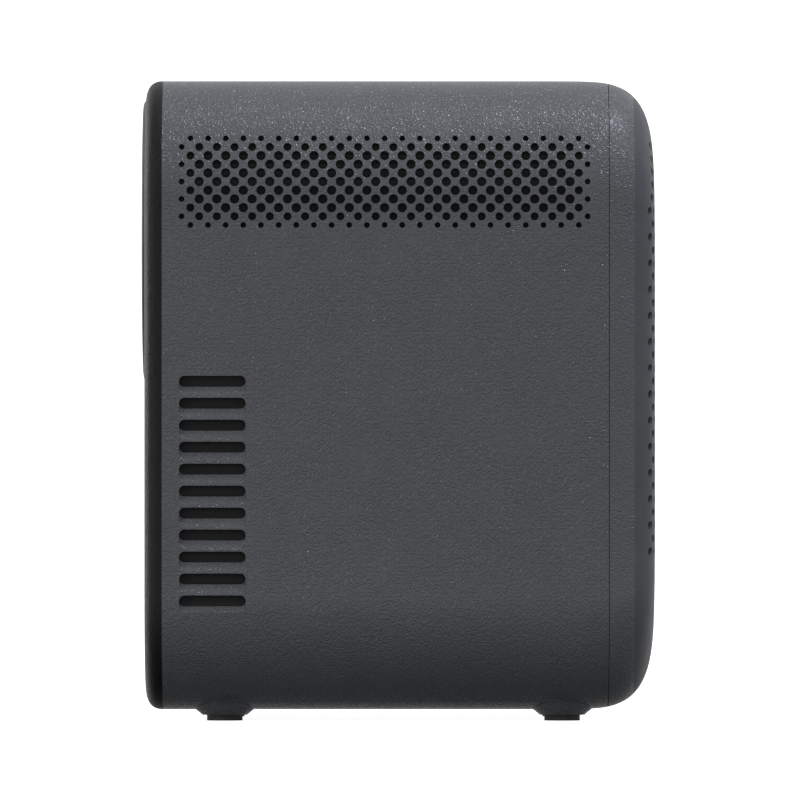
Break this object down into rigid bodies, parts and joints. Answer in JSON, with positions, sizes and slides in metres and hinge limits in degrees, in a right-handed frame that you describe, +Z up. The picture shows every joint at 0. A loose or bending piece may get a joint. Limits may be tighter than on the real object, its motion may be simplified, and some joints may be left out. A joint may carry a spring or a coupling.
{
  "type": "projector with built-in disc player",
  "caption": "Upright home projector with a rounded body, side vents and louvers, a perforated front with lens, and a round hinged disc lid in its back.",
  "frame": {"origin": "middle of the bounding box at table height, under the body", "axes": "+Z up; -Y is the front with the lens; +Y the back with the disc lid; +X to the right of someone who faces the front"},
  "size_m": [0.2, 0.2446, 0.3052],
  "materials": {
    "housing_plastic": "coarse moulded grain, dark grey",
    "front_plastic": "fine grain, dark grey",
    "grille_plastic": "fine satin, dark grey",
    "cover_plastic": "satin black",
    "lid_plastic": "satin black",
    "mesh_black": "black woven mesh",
    "window_dark": "dark tinted",
    "inner_plastic": "moulded black",
    "speaker_steel": "black painted pressed steel",
    "cone_paper": "pressed black paper with a soft surround",
    "magnet_black": "ferrite magnet, dark grey",
    "pin_steel": "ground steel",
    "magnet_nickel": "nickel plated",
    "deck_plastic": "satin black moulding",
    "plate_steel": "zinc coated sheet",
    "damper_rubber": "soft black",
    "motor_steel": "drawn steel can",
    "platter_plastic": "black with a fine texture",
    "sled_metal": "die-cast",
    "objective_glass": "coated, bluish",
    "bezel_gloss": "polished black",
    "barrel_black": "ribbed matt black",
    "lens_glass": "coated",
    "gear_plastic": "off-white acetal",
    "pinion_plastic": "off-white acetal",
    "engine_plastic": "glass-filled black",
    "mirror_glass": "front-silvered",
    "lcd_glass": "dark display glass",
    "field_plastic": "ringed clear plastic",
    "condenser_glass": "clear",
    "reflector_metal": "polished sheet",
    "led_core": "metal-core board with a yellow light chip",
    "sink_aluminium": "extruded, clear anodised",
    "fan_black": "moulded black",
    "rotor_black": "moulded black",
    "board_green": "solder resist, green",
    "board_brown": "phenolic board, tan",
    "socket_nickel": "nickel plated shells",
    "inlet_black": "moulded black",
    "pin_brass": "tin plated brass",
    "screen_black": "open black mesh",
    "foot_rubber": "soft black",
    "insert_brass": "turned, threaded",
    "screw_black": "black oxide",
    "button_plastic": "fine grain, dark grey"
  },
  "bodies": {
    "case": {"main_housing": "housing_plastic", "front_cover": "front_plastic", "front_grille": "grille_plastic", "grille_mesh": "mesh_black", "remote_window": "window_dark", "front_baffle": "inner_plastic", "speaker_frames": "speaker_steel", "speaker_cones": "cone_paper", "speaker_magnets": "magnet_black", "back_cover": "cover_plastic", "hinge_pin": "pin_steel", "catch_plate": "pin_steel", "disc_deck": "deck_plastic", "deck_chassis": "plate_steel", "deck_dampers": "damper_rubber", "spindle_motor": "motor_steel", "guide_rods": "pin_steel", "sled_motor": "motor_steel", "lens_bezel": "bezel_gloss", "lens_mount": "inner_plastic", "focus_motor": "motor_steel", "engine_case": "engine_plastic", "fold_mirror": "mirror_glass", "lcd_panel": "lcd_glass", "field_lens": "field_plastic", "condenser_lens": "condenser_glass", "light_funnel": "reflector_metal", "led_board": "led_core", "heat_sink": "sink_aluminium", "chassis_plate": "plate_steel", "fan_bulkhead": "inner_plastic", "fan_frames": "fan_black", "main_board": "board_green", "power_board": "board_brown", "socket_board": "board_green", "signal_sockets": "socket_nickel", "power_inlet": "inlet_black", "inlet_pins": "pin_brass", "key_board": "board_green", "dust_screens": "screen_black", "rubber_feet": "foot_rubber", "camera_thread": "insert_brass", "case_screws": "screw_black", "damper_screws": "screw_black"},
    "lid": {"disc_lid": "lid_plastic", "lid_magnet": "magnet_nickel"},
    "platter": {"turntable": "platter_plastic"},
    "pickup": {"pickup_sled": "sled_metal", "pickup_lens": "objective_glass"},
    "feed_screw": {"lead_screw": "pin_steel"},
    "barrel": {"lens_barrel": "barrel_black", "lens_elements": "lens_glass"},
    "ring": {"focus_ring": "gear_plastic"},
    "pinion": {"focus_pinion": "pinion_plastic"},
    "left_rotor": {"left_fan_rotor": "rotor_black"},
    "right_rotor": {"right_fan_rotor": "rotor_black"},
    "power_key": {"power_button": "button_plastic"},
    "source_key": {"source_button": "button_plastic"},
    "volume_down_key": {"volume_down_button": "button_plastic"},
    "volume_up_key": {"volume_up_button": "button_plastic"}
  },
  "joints": [
    {"name": "lid_hinge", "type": "hinge", "parent": "case", "child": "lid", "pos_m": [0.0725, 0.11862, 0.2293], "axis": [0, 0, -1], "range_deg": [0, 100]},
    {"name": "disc_spin", "type": "hinge", "parent": "case", "child": "platter", "pos_m": [0, 0.10952, 0.2293], "axis": [0, 1, 0], "continuous": true},
    {"name": "pickup_slide", "type": "slide", "parent": "case", "child": "pickup", "axis": [0, 0, -1], "range_m": [0, 0.034]},
    {"name": "feed_screw_turn", "type": "hinge", "parent": "case", "child": "feed_screw", "pos_m": [0.036, 0.10302, 0.1693], "axis": [0, 0, 1], "range_deg": [0, 4320]},
    {"name": "focus_slide", "type": "slide", "parent": "case", "child": "barrel", "axis": [0, -1, 0], "range_m": [0, 0.006]},
    {"name": "focus_ring_turn", "type": "hinge", "parent": "case", "child": "ring", "pos_m": [0, -0.09298, 0.2], "axis": [0, -1, 0], "range_deg": [0, 95]},
    {"name": "focus_pinion_turn", "type": "hinge", "parent": "case", "child": "pinion", "pos_m": [0.02639, -0.09298, 0.16855], "axis": [0, -1, 0], "range_deg": [-450, 0]},
    {"name": "left_fan_spin", "type": "hinge", "parent": "case", "child": "left_rotor", "pos_m": [-0.043, 0.06, 0.104], "axis": [0, 1, 0], "continuous": true},
    {"name": "right_fan_spin", "type": "hinge", "parent": "case", "child": "right_rotor", "pos_m": [0.043, 0.06, 0.104], "axis": [0, 1, 0], "continuous": true},
    {"name": "power_press", "type": "slide", "parent": "case", "child": "power_key", "axis": [0, 0, -1], "range_m": [0, 0.001], "stiffness_N_per_m": 400, "springref_m": -0.0005},
    {"name": "source_press", "type": "slide", "parent": "case", "child": "source_key", "axis": [0, 0, -1], "range_m": [0, 0.001], "stiffness_N_per_m": 400, "springref_m": -0.0005},
    {"name": "volume_down_press", "type": "slide", "parent": "case", "child": "volume_down_key", "axis": [0, 0, -1], "range_m": [0, 0.001], "stiffness_N_per_m": 400, "springref_m": -0.0005},
    {"name": "volume_up_press", "type": "slide", "parent": "case", "child": "volume_up_key", "axis": [0, 0, -1], "range_m": [0, 0.001], "stiffness_N_per_m": 400, "springref_m": -0.0005}
  ],
  "couplings": [
    {"joint": "feed_screw_turn", "follows": "pickup_slide", "rad_per_m": 2094.4},
    {"joint": "focus_ring_turn", "follows": "focus_slide", "rad_per_m": 261.8},
    {"joint": "focus_pinion_turn", "follows": "focus_slide", "rad_per_m": -1271.6}
  ]
}
